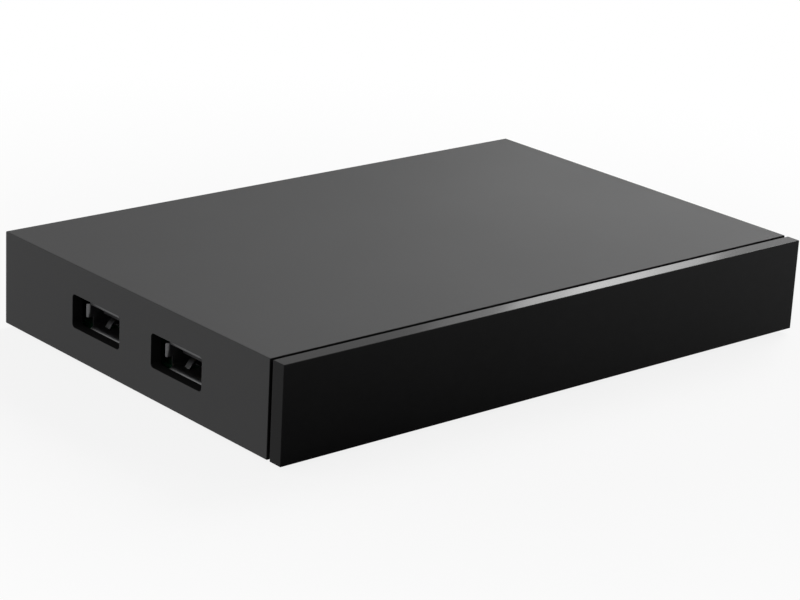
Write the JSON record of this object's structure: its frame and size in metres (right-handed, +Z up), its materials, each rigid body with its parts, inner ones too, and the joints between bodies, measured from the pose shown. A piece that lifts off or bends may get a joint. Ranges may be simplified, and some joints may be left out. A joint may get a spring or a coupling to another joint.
{
  "type": "tv decoder box",
  "caption": "Flat black box that decodes television for a screen, with a gloss front panel, two sockets in its left side and a row of connectors at the back.",
  "frame": {"origin": "middle of the rectangle that the box covers, on the surface under its feet", "axes": "+X to the right seen from the front, +Y to the back, +Z up; the gloss panel faces -Y"},
  "size_m": [0.14, 0.093, 0.021],
  "materials": {
    "case_black": "fine matte spark texture",
    "panel_gloss": "polished, infrared passing",
    "carrier_black": "matte",
    "clear_plastic": "clear moulded plastic",
    "screw_steel": "black zinc plated",
    "foot_rubber": "matte",
    "board_green": "satin solder mask",
    "chip_black": "fine matte",
    "pad_grey": "soft silicone",
    "sink_aluminium": "as extruded",
    "pin_white": "natural nylon",
    "ferrite_grey": "sintered",
    "capacitor_aluminium": "satin",
    "moulded_black": "moulded, satin",
    "can_steel": "tin plated",
    "contact_gold": "gold plated",
    "receiver_dark": "dark lens resin",
    "socket_steel": "nickel plated"
  },
  "bodies": {
    "case": {"upper_housing": "case_black", "base_cover": "case_black", "front_panel": "panel_gloss", "panel_carrier": "carrier_black", "light_pipe": "clear_plastic", "case_screws": "screw_steel", "board_screws": "screw_steel", "rubber_feet": "foot_rubber", "main_board": "board_green", "processor": "chip_black", "thermal_pad": "pad_grey", "heat_sink": "sink_aluminium", "heat_sink_pins": "pin_white", "memory_chips": "chip_black", "flash_chip": "chip_black", "power_inductors": "ferrite_grey", "electrolytic_capacitors": "capacitor_aluminium", "line_transformer": "moulded_black", "clock_crystals": "can_steel", "radio_module": "board_green", "radio_shield_can": "can_steel", "radio_antennas": "contact_gold", "remote_receiver": "receiver_dark", "status_led": "clear_plastic", "rear_socket_shell": "socket_steel", "front_socket_shell": "socket_steel", "rear_socket_contacts": "contact_gold", "front_socket_contacts": "contact_gold", "rear_socket_tongue": "moulded_black", "front_socket_tongue": "moulded_black", "video_socket_shell": "socket_steel", "video_socket_contacts": "contact_gold", "video_socket_tongue": "moulded_black", "network_socket_shield": "socket_steel", "network_socket_body": "moulded_black", "network_socket_contacts": "contact_gold", "optical_socket": "moulded_black", "optical_emitter": "moulded_black", "audio_jack_body": "moulded_black", "audio_jack_collar": "socket_steel", "power_jack_body": "moulded_black", "power_jack_pin": "socket_steel", "reset_switch": "moulded_black"},
    "reset_key": {"reset_button": "case_black", "reset_actuator": "pin_white"},
    "shutter": {"optical_shutter": "moulded_black"}
  },
  "joints": [
    {"name": "reset_press", "type": "slide", "parent": "case", "child": "reset_key", "axis": [0, -1, 0], "range_m": [0, 0.0004], "stiffness_N_per_m": 1500, "springref_m": -0.0002},
    {"name": "shutter_swing", "type": "hinge", "parent": "case", "child": "shutter", "pos_m": [0.009, 0.0452, 0.01605], "axis": [-1, 0, 0], "range_deg": [0, 75], "stiffness_Nm_per_rad": 0.0005, "springref_deg": -17.19}
  ]
}
